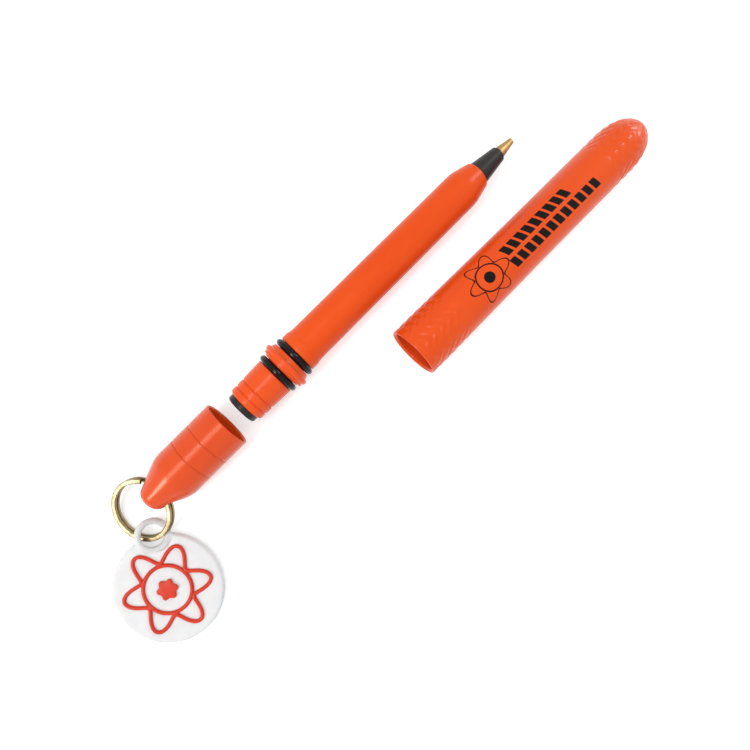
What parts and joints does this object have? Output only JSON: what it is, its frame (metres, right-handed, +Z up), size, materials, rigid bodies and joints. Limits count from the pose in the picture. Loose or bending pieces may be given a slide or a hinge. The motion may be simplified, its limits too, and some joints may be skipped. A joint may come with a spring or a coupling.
{
  "type": "pocket pen",
  "caption": "Compact capped ballpoint pen laid open: flanged barrel with seals and refill, domed cap, key-ring end with split ring and soft round tag.",
  "frame": {"origin": "centre of the end plug's flat outer face, on the pen's axis", "axes": "+X along the pen's axis to its writing point, +Z up from the surface that the parts lie on; the cap lies on the -Y side"},
  "size_m": [0.1483, 0.0339, 0.0116],
  "materials": {
    "barrel_plastic": "satin orange moulding",
    "o_ring_rubber": "smooth black rubber",
    "plug_plastic": "dark grey moulding",
    "nose_plastic": "satin black moulding",
    "point_brass": "turned brass",
    "ball_steel": "polished hard metal",
    "tube_plastic": "milky tube",
    "ink": "black ink paste",
    "grease": "pale grease",
    "cap_plastic": "satin orange moulding with a fine grip texture",
    "tail_cap_plastic": "glossy orange moulding",
    "ring_brass": "gold-coloured plated wire",
    "tag_vinyl": "soft white vinyl",
    "relief_vinyl": "raised orange-red vinyl"
  },
  "bodies": {
    "barrel": {"barrel": "barrel_plastic", "front_o_ring": "o_ring_rubber", "rear_o_ring": "o_ring_rubber", "end_plug": "plug_plastic"},
    "refill": {"nose_cone": "nose_plastic", "point": "point_brass", "writing_ball": "ball_steel", "ink_tube": "tube_plastic", "ink_column": "ink", "ink_follower": "grease"},
    "cap": {"cap": "cap_plastic"},
    "tail_cap": {"tail_cap": "tail_cap_plastic"},
    "key_ring": {"key_ring": "ring_brass"},
    "tag": {"tag": "tag_vinyl", "tag_relief": "relief_vinyl", "tag_boss": "relief_vinyl"}
  },
  "joints": [
    {"name": "refill_slide", "type": "slide", "parent": "barrel", "child": "refill", "axis": [1, 0, 0], "range_m": [0, 0.052]},
    {"name": "cap_slide", "type": "slide", "parent": "barrel", "child": "cap", "axis": [1, 0, 0], "range_m": [-0.0194, 0.047]},
    {"name": "tail_cap_slide", "type": "slide", "parent": "barrel", "child": "tail_cap", "axis": [1, 0, 0], "range_m": [-0.02, 0.01565]},
    {"name": "key_ring_swing", "type": "hinge", "parent": "tail_cap", "child": "key_ring", "pos_m": [-0.02355, 0, 0], "axis": [0, 1, 0], "range_deg": [-66, 113]},
    {"name": "tag_swing", "type": "hinge", "parent": "key_ring", "child": "tag", "pos_m": [-0.03186, -0.00517, -0.00323], "axis": [-0.8073, 0.5, -0.3136], "range_deg": [-55, 65]}
  ]
}
